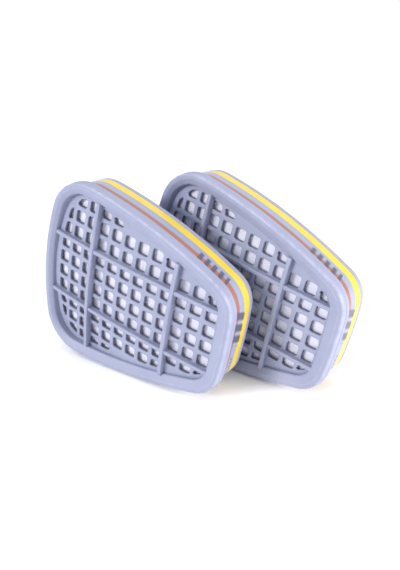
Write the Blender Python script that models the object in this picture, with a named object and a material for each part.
"""A pair of bayonet gas cartridges for a half mask, standing one behind the other.

Each cartridge is a shallow cup of sorbent closed by a grille cover. It is modelled
once in its own frame: X along the long axis towards the narrow end, Y into the
depth with 0 on the crest of the front rim, Z up. The two copies are then leaned
back and rolled until they rest on the long side, as they stand on a table.
"""

import math

import bmesh
import bpy
from mathutils import Matrix, Vector

# ---- driving dimensions, metres and degrees ----

# outline of the cover flange: four bowed sides, two wide and two narrow corners
CASE_LENGTH = 0.0970
MID_HEIGHT = 0.0742
SIDE_TILT = 11.4
SIDE_RADIUS = 0.226
WIDE_END_RADIUS = 0.1154
NARROW_END_RADIUS = 0.203
WIDE_CORNER_RADIUS = 0.0189
NARROW_CORNER_RADIUS = 0.0146

# cover: flange, rim, bevel and spigot
FLANGE_DEPTH = 0.0044
SHOULDER_RADIUS = 0.0012
CREST_WIDTH = 0.0011
BEVEL_WIDTH = 0.0025
BEVEL_DROP = 0.0009
RECESS_SHIFT = -0.0012
RIM_WALL = 0.0005
SPIGOT_LENGTH = 0.0021

# cover: domed grille plate and its ribs
GRILLE_PITCH = 0.0070
HOLE_WIDTH = 0.0051
HOLE_MARGIN = 0.0081
PLATE_THICKNESS = 0.0015
CROWN_DEPTH = 0.0005
DOME_RADIUS_X = 0.450
DOME_RADIUS_Z = 0.273
RIB_WIDTH = 0.0017
UPRIGHT_RIB_HEIGHT = 0.0025
CROSS_RIB_HEIGHT = 0.0020
UPRIGHT_RIB_PITCHES = 3
CROSS_RIB_PITCHES = 2

# housing: cup, bead, back wall and label recess
BODY_INSET = 0.00144
CASE_WALL = 0.0015
CASE_DEPTH = 0.0192
BACK_EDGE_RADIUS = 0.0016
BEAD_WIDTH = 0.0011
BACK_WALL = 0.0016

# housing: bayonet socket and the ribs that hold the outlet grid off the back wall
COLLAR_RADIUS = 0.0210
COLLAR_HEIGHT = 0.0043
SOCKET_RADIUS = 0.0165
LUG_REACH = 0.0025
LUG_THICKNESS = 0.0016
LUG_ANGLE = 44.0
LUG_COUNT = 3
STANDOFF_COUNT = 8
STANDOFF_WIDTH = 0.0015
STANDOFF_HEIGHT = 0.0024

# wrap label
LABEL_THICKNESS = 0.0004
LABEL_SETBACK = 0.0003

# filter layers
INLET_SCRIM_THICKNESS = 0.0010
OUTLET_SCRIM_THICKNESS = 0.0008
GRID_THICKNESS = 0.0014
GRID_SLOT_WIDTH = 0.0030
GRID_SLOT_LENGTH = 0.0200
GRID_BAR = 0.0024
GRID_EDGE = 0.0050

# clearance between pieces that touch, and play of a layer inside the cup
CLEARANCE = 0.0003
LAYER_PLAY = 0.0004

# where the second cartridge stands
PAIR_GAP = 0.0005
PAIR_SHIFT = 0.0346
PAIR_YAW = -5.7

# facets on each stretch of half the outline, and around the socket
END_FACETS = 2
WIDE_CORNER_FACETS = 6
SIDE_FACETS = 6
NARROW_CORNER_FACETS = 5
SHOULDER_FACETS = 2
ROUND_FACETS = 36
LAYER_RINGS = 3
RIB_STATIONS = 8

# ---- sizes that follow from them ----

BODY_OFFSET = -BODY_INSET
RECESS_OFFSET = BODY_OFFSET - LABEL_THICKNESS - CLEARANCE
CUP_OFFSET = RECESS_OFFSET - CASE_WALL
CREST_OUTER = -SHOULDER_RADIUS
CREST_INNER = CREST_OUTER - CREST_WIDTH
BEVEL_INNER = CREST_INNER - BEVEL_WIDTH
WALL_INNER = BEVEL_INNER - RIM_WALL
PLATE_OFFSET = (BEVEL_INNER + WALL_INNER) / 2
SPIGOT_OFFSET = CUP_OFFSET - CLEARANCE
CUP_FRONT = FLANGE_DEPTH + CLEARANCE
CUP_FLOOR = CASE_DEPTH - BACK_WALL
BEAD_BACK = CASE_DEPTH - BACK_EDGE_RADIUS
BEAD_FRONT = BEAD_BACK - BEAD_WIDTH
COLLAR_END = CASE_DEPTH + COLLAR_HEIGHT
LUG_RADIUS = SOCKET_RADIUS - LUG_REACH
GRID_BACK = CUP_FLOOR - STANDOFF_HEIGHT - CLEARANCE
GRID_FRONT = GRID_BACK - GRID_THICKNESS
OUTLET_SCRIM_BACK = GRID_FRONT - CLEARANCE
OUTLET_SCRIM_FRONT = OUTLET_SCRIM_BACK - OUTLET_SCRIM_THICKNESS
BED_BACK = OUTLET_SCRIM_FRONT - CLEARANCE
LAYER_OFFSET = CUP_OFFSET - LAYER_PLAY
INLET_OFFSET = WALL_INNER - abs(RECESS_SHIFT) - LAYER_PLAY
PLATE_BACK = CROWN_DEPTH + PLATE_THICKNESS
INLET_SCRIM_FRONT = PLATE_BACK + CLEARANCE
BED_FRONT = INLET_SCRIM_FRONT + INLET_SCRIM_THICKNESS + CLEARANCE
RIB_CROWN = CROWN_DEPTH - UPRIGHT_RIB_HEIGHT
OVERCUT = 0.002

MATERIALS = {
    "shell": ((0.48, 0.51, 0.70), 0.42, 0.0),
    "scrim": ((0.80, 0.80, 0.88), 0.90, 0.0),
    "carbon": ((0.02, 0.02, 0.02), 0.85, 0.0),
    "grid": ((0.55, 0.57, 0.66), 0.50, 0.0),
    "label": ((0.85, 0.62, 0.10), 0.35, 0.0),
}


# ---- outline ----

def circle_meeting(centre_a, reach_a, centre_b, reach_b, towards):
    """The point at the two given distances from two centres, on the side of towards."""
    gap = centre_b - centre_a
    span = gap.length
    along = (reach_a ** 2 - reach_b ** 2 + span ** 2) / (2 * span)
    across = math.sqrt(reach_a ** 2 - along ** 2)
    unit = gap / span
    foot = centre_a + unit * along
    choices = [foot + Vector((-unit.y, unit.x)) * across, foot - Vector((-unit.y, unit.x)) * across]
    return min(choices, key=lambda point: (point - towards).length)


def outline_arcs():
    """Arcs of the upper half, as centre, radius, start and end angle and facets."""
    half = CASE_LENGTH / 2
    tilt = math.radians(SIDE_TILT)
    wide_end = Vector((-half + WIDE_END_RADIUS, 0))
    narrow_end = Vector((half - NARROW_END_RADIUS, 0))
    side = Vector((0, MID_HEIGHT / 2)) - SIDE_RADIUS * Vector((math.sin(tilt), math.cos(tilt)))
    wide_corner = circle_meeting(
        wide_end, WIDE_END_RADIUS - WIDE_CORNER_RADIUS,
        side, SIDE_RADIUS - WIDE_CORNER_RADIUS, Vector((-half, half)))
    narrow_corner = circle_meeting(
        narrow_end, NARROW_END_RADIUS - NARROW_CORNER_RADIUS,
        side, SIDE_RADIUS - NARROW_CORNER_RADIUS, Vector((half, half)))

    def angle(start, end):
        return math.atan2(end.y - start.y, end.x - start.x)

    leave_end = angle(wide_end, wide_corner)
    reach_side = angle(side, wide_corner)
    leave_side = angle(side, narrow_corner)
    reach_end = angle(narrow_end, narrow_corner)
    return [
        (wide_end, WIDE_END_RADIUS, math.pi, leave_end, END_FACETS),
        (wide_corner, WIDE_CORNER_RADIUS, leave_end, reach_side, WIDE_CORNER_FACETS),
        (side, SIDE_RADIUS, reach_side, leave_side, SIDE_FACETS),
        (narrow_corner, NARROW_CORNER_RADIUS, leave_side, reach_end, NARROW_CORNER_FACETS),
        (narrow_end, NARROW_END_RADIUS, reach_end, 0.0, END_FACETS),
    ]


ARCS = outline_arcs()


def outline(offset, shift=0.0):
    """The closed outline, moved outwards by offset: (x, z) points, clockwise from the front."""
    upper = []
    for centre, radius, start, end, facets in ARCS:
        for step in range(facets):
            turn = start + (end - start) * step / facets
            reach = radius + offset
            upper.append((centre.x + reach * math.cos(turn), centre.y + reach * math.sin(turn)))
    last_centre, last_radius = ARCS[-1][0], ARCS[-1][1]
    upper.append((last_centre.x + last_radius + offset, 0.0))
    lower = [(x, -z) for x, z in reversed(upper[1:-1])]
    return [(x + shift, z) for x, z in upper + lower]


def dome(x, z):
    """How far the grille has fallen back from its crown."""
    return x * x / (2 * DOME_RADIUS_X) + z * z / (2 * DOME_RADIUS_Z)


# ---- mesh helpers ----

def mesh_object(name, bm):
    """A closed bmesh as an object, with its faces pointing out."""
    bmesh.ops.recalc_face_normals(bm, faces=bm.faces)
    mesh = bpy.data.meshes.new(name)
    bm.to_mesh(mesh)
    bm.free()
    obj = bpy.data.objects.new(name, mesh)
    bpy.context.scene.collection.objects.link(obj)
    return obj


def add_ring(bm, points, depth):
    """A ring of vertices; depth is a number or a function of x and z."""
    deep = depth if callable(depth) else (lambda x, z: depth)
    return [bm.verts.new((x, deep(x, z), z)) for x, z in points]


def bridge(bm, first, second):
    """Quads between two rings of equal length."""
    count = len(first)
    for index in range(count):
        after = (index + 1) % count
        bm.faces.new((first[index], first[after], second[after], second[index]))


def cap(bm, ring, depth=None):
    """Close a ring with one flat face, or with a fan around a middle point at depth."""
    if depth is None:
        bm.faces.new(ring)
        return
    middle = bm.verts.new((0.0, depth, 0.0))
    for index, vert in enumerate(ring):
        bm.faces.new((vert, ring[(index + 1) % len(ring)], middle))


def prism(name, points, front, back):
    """A straight solid with the given outline."""
    bm = bmesh.new()
    first = add_ring(bm, points, front)
    second = add_ring(bm, points, back)
    bridge(bm, first, second)
    cap(bm, first)
    cap(bm, second)
    return mesh_object(name, bm)


def swept_ring(name, section):
    """A ring that follows the outline: section lists offset, depth and shift around it."""
    bm = bmesh.new()
    rings = [add_ring(bm, outline(offset, shift), depth) for offset, depth, shift in section]
    for index, ring in enumerate(rings):
        bridge(bm, ring, rings[(index + 1) % len(rings)])
    return mesh_object(name, bm)


def combine(target, operand, operation):
    """Cut or join the operand into the target."""
    modifier = target.modifiers.new(operation.lower(), "BOOLEAN")
    modifier.object = operand
    modifier.operation = operation
    modifier.solver = "EXACT"
    operand.hide_render = True
    operand.display_type = "WIRE"


def box_into(bm, low, high):
    """A box between two corners, added to a bmesh."""
    made = bmesh.ops.create_cube(bm, size=1.0)["verts"]
    for vert in made:
        vert.co = Vector([low[i] + (high[i] - low[i]) * (vert.co[i] + 0.5) for i in range(3)])
    return made


def round_points(radius, facets=ROUND_FACETS, start=0.0, sweep=360.0):
    """Points on a circle or an arc, as x and z."""
    full = sweep >= 360.0
    steps = facets if full else facets + 1
    turns = [math.radians(start + sweep * step / facets) for step in range(steps)]
    return [(radius * math.cos(turn), radius * math.sin(turn)) for turn in turns]


# ---- cover ----

def shoulder_section():
    """The rounded outer shoulder of the rim, from the flange side to the crest."""
    points = []
    for step in range(SHOULDER_FACETS + 1):
        turn = math.radians(90.0 * step / SHOULDER_FACETS)
        back = SHOULDER_RADIUS * (1 - math.sin(turn))
        points.append((-SHOULDER_RADIUS * (1 - math.cos(turn)), back, 0.0))
    return points


def cover_rim():
    """Flange, crest, inner bevel and the spigot that plugs into the cup."""
    spigot_end = FLANGE_DEPTH + SPIGOT_LENGTH
    section = [(0.0, FLANGE_DEPTH, 0.0)]
    section += shoulder_section()
    section += [
        (CREST_INNER, 0.0, 0.0),
        (BEVEL_INNER, BEVEL_DROP, RECESS_SHIFT),
        (WALL_INNER, BEVEL_DROP + RIM_WALL, RECESS_SHIFT),
        (WALL_INNER, spigot_end, 0.0),
        (SPIGOT_OFFSET, spigot_end, 0.0),
        (SPIGOT_OFFSET, FLANGE_DEPTH, 0.0),
    ]
    return swept_ring("cover_rim", section)


def domed_strip(bm, stations, width, front, back, along_x):
    """A bar that follows the dome; stations are places along it, width lists its two sides."""
    rings = []
    for place in stations:
        corners = []
        for side, depth in ((width[0], front), (width[1], front), (width[1], back), (width[0], back)):
            x, z = (place, side) if along_x else (side, place)
            corners.append(bm.verts.new((x, depth + dome(x, z), z)))
        rings.append(corners)
    for first, second in zip(rings, rings[1:]):
        bridge(bm, first, second)
    bm.faces.new(rings[0])
    bm.faces.new(rings[-1])


def grille_plate():
    """Domed plate laid out in square cells, with the cells' edges on the bars' middles."""
    columns = math.ceil(CASE_LENGTH / 2 / GRILLE_PITCH)
    rows = math.ceil(max(z for x, z in outline(0.0)) / GRILLE_PITCH)
    bm = bmesh.new()
    sheets = []
    for depth in (CROWN_DEPTH, PLATE_BACK):
        sheet = []
        for column in range(-columns, columns + 1):
            x = column * GRILLE_PITCH
            heights = [row * GRILLE_PITCH for row in range(-rows, rows + 1)]
            sheet.append([bm.verts.new((x, depth + dome(x, z), z)) for z in heights])
        sheets.append(sheet)
        for left, right in zip(sheet, sheet[1:]):
            for row in range(2 * rows):
                bm.faces.new((left[row], left[row + 1], right[row + 1], right[row]))
    borders = []
    for sheet in sheets:
        bottom = [line[0] for line in sheet]
        top = [line[-1] for line in reversed(sheet)]
        borders.append(bottom[:-1] + sheet[-1][:-1] + top[:-1] + list(reversed(sheet[0]))[:-1])
    bridge(bm, borders[0], borders[1])
    return mesh_object("grille_plate", bm)


def clip_to(points, border):
    """The part of a convex polygon that lies inside a convex border, both clockwise."""
    for start, end in zip(border, border[1:] + border[:1]):
        edge = Vector(end) - Vector(start)

        def depth_inside(point):
            reach = Vector(point) - Vector(start)
            return edge.y * reach.x - edge.x * reach.y

        kept = []
        for index, point in enumerate(points):
            after = points[(index + 1) % len(points)]
            here, there = depth_inside(point), depth_inside(after)
            if here >= 0:
                kept.append(point)
            if (here > 0 > there) or (here < 0 < there):
                share = here / (here - there)
                kept.append(tuple(Vector(point).lerp(Vector(after), share)))
        points = kept
    return points


def polygon_area(points):
    """Area of a polygon."""
    turned = points[1:] + points[:1]
    return abs(sum(x0 * z1 - x1 * z0 for (x0, z0), (x1, z1) in zip(points, turned))) / 2


def grille_holes():
    """Prisms for every hole, trimmed where the grille's margin crosses them."""
    border = outline(-HOLE_MARGIN)
    smallest = HOLE_WIDTH ** 2 / 12
    back = PLATE_BACK + dome(CASE_LENGTH / 2, MID_HEIGHT / 2) + OVERCUT
    reach = math.ceil(CASE_LENGTH / 2 / GRILLE_PITCH)
    half = HOLE_WIDTH / 2
    bm = bmesh.new()
    for column in range(-reach, reach):
        for row in range(-reach, reach):
            x = (column + 0.5) * GRILLE_PITCH
            z = (row + 0.5) * GRILLE_PITCH
            square = [(x - half, z - half), (x - half, z + half), (x + half, z + half), (x + half, z - half)]
            shape = clip_to(square, border)
            if len(shape) < 3 or polygon_area(shape) < smallest:
                continue
            first = add_ring(bm, shape, CROWN_DEPTH - OVERCUT)
            second = add_ring(bm, shape, back)
            bridge(bm, first, second)
            cap(bm, first)
            cap(bm, second)
    return mesh_object("grille_holes", bm)


def grille_ribs():
    """Two upright and two cross ribs that stand on the bars and follow the dome."""
    reach = CASE_LENGTH / 2
    stations = [reach * (2 * step / RIB_STATIONS - 1) for step in range(RIB_STATIONS + 1)]
    half = RIB_WIDTH / 2
    root = CROWN_DEPTH + PLATE_THICKNESS / 2
    ribs = []
    for side in (-1, 1):
        middle = side * UPRIGHT_RIB_PITCHES * GRILLE_PITCH
        bm = bmesh.new()
        domed_strip(bm, stations, (middle - half, middle + half), RIB_CROWN, root, False)
        ribs.append(mesh_object("upright_rib", bm))
        middle = side * CROSS_RIB_PITCHES * GRILLE_PITCH
        bm = bmesh.new()
        domed_strip(bm, stations, (middle - half, middle + half), CROWN_DEPTH - CROSS_RIB_HEIGHT, root, True)
        ribs.append(mesh_object("cross_rib", bm))
    return ribs


def build_cover():
    """One moulding: rim, plate and ribs."""
    front = RIB_CROWN - OVERCUT
    back = CASE_DEPTH
    plate = grille_plate()
    combine(plate, grille_holes(), "DIFFERENCE")
    for rib in grille_ribs():
        combine(plate, rib, "UNION")
    combine(plate, prism("plate_edge", outline(PLATE_OFFSET, RECESS_SHIFT / 2), front, back), "INTERSECT")
    cover = cover_rim()
    combine(cover, plate, "UNION")
    return cover


# ---- housing ----

def cup_shell():
    """The cup, from its floor out over the front edge and back to the flat rear face."""
    section = [(CUP_OFFSET, CUP_FLOOR), (CUP_OFFSET, CUP_FRONT), (RECESS_OFFSET, CUP_FRONT)]
    section += [(RECESS_OFFSET, BEAD_FRONT), (BODY_OFFSET, BEAD_FRONT), (BODY_OFFSET, BEAD_BACK)]
    for step in range(1, SHOULDER_FACETS + 1):
        turn = math.radians(90.0 * step / SHOULDER_FACETS)
        inset = BACK_EDGE_RADIUS * (1 - math.cos(turn))
        section.append((BODY_OFFSET - inset, BEAD_BACK + BACK_EDGE_RADIUS * math.sin(turn)))
    bm = bmesh.new()
    rings = [add_ring(bm, outline(offset), depth) for offset, depth in section]
    for first, second in zip(rings, rings[1:]):
        bridge(bm, first, second)
    cap(bm, rings[0])
    cap(bm, rings[-1])
    return mesh_object("cup_shell", bm)


def collar():
    """The raised round collar on the rear face, with its foot sunk into the back wall."""
    return prism("collar", round_points(COLLAR_RADIUS), CASE_DEPTH - BACK_WALL / 2, COLLAR_END)


def lug(index):
    """One bayonet lug: an arc-shaped tab at the mouth of the socket."""
    start = 360.0 * index / LUG_COUNT + 90.0 - LUG_ANGLE / 2
    rooted = (SOCKET_RADIUS + COLLAR_RADIUS) / 2
    outer = round_points(rooted, 6, start, LUG_ANGLE)
    inner = round_points(LUG_RADIUS, 6, start, LUG_ANGLE)
    return prism("lug", outer + inner[::-1], COLLAR_END - LUG_THICKNESS, COLLAR_END)


def standoffs():
    """Radial ribs on the floor of the cup, trimmed to the cup's inside."""
    bm = bmesh.new()
    low = (COLLAR_RADIUS, CUP_FLOOR - STANDOFF_HEIGHT, -STANDOFF_WIDTH / 2)
    high = (CASE_LENGTH, CUP_FLOOR + BACK_WALL / 2, STANDOFF_WIDTH / 2)
    for index in range(STANDOFF_COUNT):
        turn = Matrix.Rotation(2 * math.pi * (index + 0.5) / STANDOFF_COUNT, 4, "Y")
        bmesh.ops.transform(bm, matrix=turn, verts=box_into(bm, low, high))
    ribs = mesh_object("standoffs", bm)
    inside = outline(CUP_OFFSET + CASE_WALL / 2)
    combine(ribs, prism("standoff_edge", inside, 0.0, CASE_DEPTH), "INTERSECT")
    return ribs


def build_housing():
    """One moulding: cup, standoff ribs, collar and bayonet lugs."""
    housing = cup_shell()
    combine(housing, standoffs(), "UNION")
    combine(housing, collar(), "UNION")
    bore = prism("bore", round_points(SOCKET_RADIUS), CUP_FLOOR - OVERCUT, COLLAR_END + OVERCUT)
    combine(housing, bore, "DIFFERENCE")
    for index in range(LUG_COUNT):
        combine(housing, lug(index), "UNION")
    return housing


# ---- label ----

def build_label():
    """A printed strip in the cup's recess, wrapped from corner to corner round the narrow end."""
    first = END_FACETS + WIDE_CORNER_FACETS // 2
    count = len(outline(0.0))
    outer = outline(BODY_OFFSET)
    inner = outline(BODY_OFFSET - LABEL_THICKNESS)
    depths = (CUP_FRONT + LABEL_SETBACK, BEAD_FRONT - LABEL_SETBACK)
    bm = bmesh.new()
    rings = []
    for index in range(first, count - first + 1):
        corners = ((outer, depths[0]), (outer, depths[1]), (inner, depths[1]), (inner, depths[0]))
        rings.append([bm.verts.new((loop[index][0], depth, loop[index][1])) for loop, depth in corners])
    for before, after in zip(rings, rings[1:]):
        bridge(bm, before, after)
    bm.faces.new(rings[0])
    bm.faces.new(rings[-1])
    return mesh_object("label_strip", bm)


# ---- filter layers ----

def layer(name, offset, front, back, domed_back):
    """A layer across the cup: its front follows the dome, its back does or is flat."""
    edge = outline(offset)
    bm = bmesh.new()
    faces = []
    for depth, domed in ((front, True), (back, domed_back)):
        rings = []
        for step in range(LAYER_RINGS, 0, -1):
            points = [(x * step / LAYER_RINGS, z * step / LAYER_RINGS) for x, z in edge]
            rings.append(add_ring(bm, points, (lambda x, z: depth + dome(x, z)) if domed else depth))
            if not domed:
                break
        for outer_ring, inner_ring in zip(rings, rings[1:]):
            bridge(bm, outer_ring, inner_ring)
        cap(bm, rings[-1], depth if domed else None)
        faces.append(rings[0])
    bridge(bm, faces[0], faces[1])
    return mesh_object(name, bm)


def build_outlet_grid():
    """Flat retaining plate with rows of slots; slots too near the edge are left out."""
    edge = outline(LAYER_OFFSET)
    plate = prism("outlet_grid", edge, GRID_FRONT, GRID_BACK)
    inside = outline(LAYER_OFFSET - GRID_EDGE)
    row_pitch = GRID_SLOT_WIDTH + GRID_BAR
    column_pitch = GRID_SLOT_LENGTH + GRID_BAR
    reach = math.ceil(CASE_LENGTH / 2 / row_pitch)
    half_long, half_wide = GRID_SLOT_LENGTH / 2, GRID_SLOT_WIDTH / 2
    bm = bmesh.new()
    for row in range(-reach, reach + 1):
        for column in range(-reach, reach + 1):
            x, z = column * column_pitch, row * row_pitch
            left, right = x - half_long, x + half_long
            slot = [(left, z - half_wide), (left, z + half_wide), (right, z + half_wide), (right, z - half_wide)]
            shape = clip_to(slot, inside)
            if len(shape) < 3 or polygon_area(shape) < GRID_SLOT_WIDTH ** 2:
                continue
            first = add_ring(bm, shape, GRID_FRONT - OVERCUT / 4)
            second = add_ring(bm, shape, GRID_BACK + OVERCUT / 4)
            bridge(bm, first, second)
            cap(bm, first)
            cap(bm, second)
    combine(plate, mesh_object("grid_slots", bm), "DIFFERENCE")
    return plate


# ---- pair ----

def material(name):
    """A Principled material for a finish."""
    colour, roughness, metallic = MATERIALS[name]
    made = bpy.data.materials.new(name)
    made.use_nodes = True
    shader = made.node_tree.nodes["Principled BSDF"]
    shader.inputs["Base Color"].default_value = (*colour, 1.0)
    shader.inputs["Roughness"].default_value = roughness
    shader.inputs["Metallic"].default_value = metallic
    return made


def build_pieces():
    """Every piece of one cartridge, as a finished mesh with its finish."""
    outlet = prism("outlet_scrim", outline(LAYER_OFFSET), OUTLET_SCRIM_FRONT, OUTLET_SCRIM_BACK)
    scrim_back = INLET_SCRIM_FRONT + INLET_SCRIM_THICKNESS
    drafts = {
        "grille_cover": (build_cover(), "shell"),
        "housing": (build_housing(), "shell"),
        "label": (build_label(), "label"),
        "inlet_scrim": (layer("inlet", INLET_OFFSET, INLET_SCRIM_FRONT, scrim_back, True), "scrim"),
        "carbon_bed": (layer("bed", INLET_OFFSET, BED_FRONT, BED_BACK, False), "carbon"),
        "outlet_scrim": (outlet, "scrim"),
        "outlet_grid": (build_outlet_grid(), "grid"),
    }
    finishes = {name: material(name) for name in MATERIALS}
    graph = bpy.context.evaluated_depsgraph_get()
    pieces = {}
    for name, (draft, finish) in drafts.items():
        mesh = bpy.data.meshes.new_from_object(draft.evaluated_get(graph))
        mesh.materials.clear()
        mesh.materials.append(finishes[finish])
        pieces[name] = mesh
    for draft in list(bpy.data.objects):
        bpy.data.objects.remove(draft)
    return pieces


def resting_roll():
    """The roll that lays the facet under the middle of the outline flat on the table."""
    loop = [Vector(point) for point in outline(0.0)]
    area_sum, moment = 0.0, 0.0
    for start, end in zip(loop, loop[1:] + loop[:1]):
        cross = start.x * end.y - end.x * start.y
        area_sum += cross
        moment += (start.x + end.x) * cross
    middle = Vector((moment / (3 * area_sum), 0.0))
    for start, end in zip(loop, loop[1:] + loop[:1]):
        edge = (start - end).normalized()
        along = (middle - end).dot(edge)
        if (start.y + end.y) < -MID_HEIGHT / 2 and 0 <= along <= (start - end).length:
            return math.atan2(edge.y, edge.x)
    raise ValueError("no resting facet")


def corner_box(pieces, places):
    """Lowest and highest corners of every piece at the given places."""
    points = [place @ vert.co for place in places for mesh in pieces.values() for vert in mesh.vertices]
    low = Vector([min(point[axis] for point in points) for axis in range(3)])
    high = Vector([max(point[axis] for point in points) for axis in range(3)])
    return low, high


def place_pair(pieces):
    """Two copies that rest on the flange and the bead, the second behind and to the right.

    The origin is on the table, under the middle of the pair.
    """
    lean = math.atan2(BODY_INSET, BEAD_BACK - FLANGE_DEPTH)
    stance = Matrix.Rotation(-lean, 4, "X") @ Matrix.Rotation(resting_roll(), 4, "Y")
    back_step = (COLLAR_END - RIB_CROWN) / math.cos(lean) + PAIR_GAP
    turned = Matrix.Rotation(math.radians(PAIR_YAW), 4, "Z")
    places = {
        "near": stance,
        "far": Matrix.Translation((PAIR_SHIFT, back_step, 0)) @ turned @ stance,
    }
    low, high = corner_box(pieces, places.values())
    middle = (low + high) / 2
    settle = Matrix.Translation((-middle.x, -middle.y, -low.z))
    for side, place in places.items():
        holder = bpy.data.objects.new(side + "_cartridge", None)
        bpy.context.scene.collection.objects.link(holder)
        holder.matrix_world = settle @ place
        for name, mesh in pieces.items():
            piece = bpy.data.objects.new(side + "_" + name, mesh)
            bpy.context.scene.collection.objects.link(piece)
            piece.parent = holder


def main():
    for old in list(bpy.data.objects):
        bpy.data.objects.remove(old)
    place_pair(build_pieces())


main()
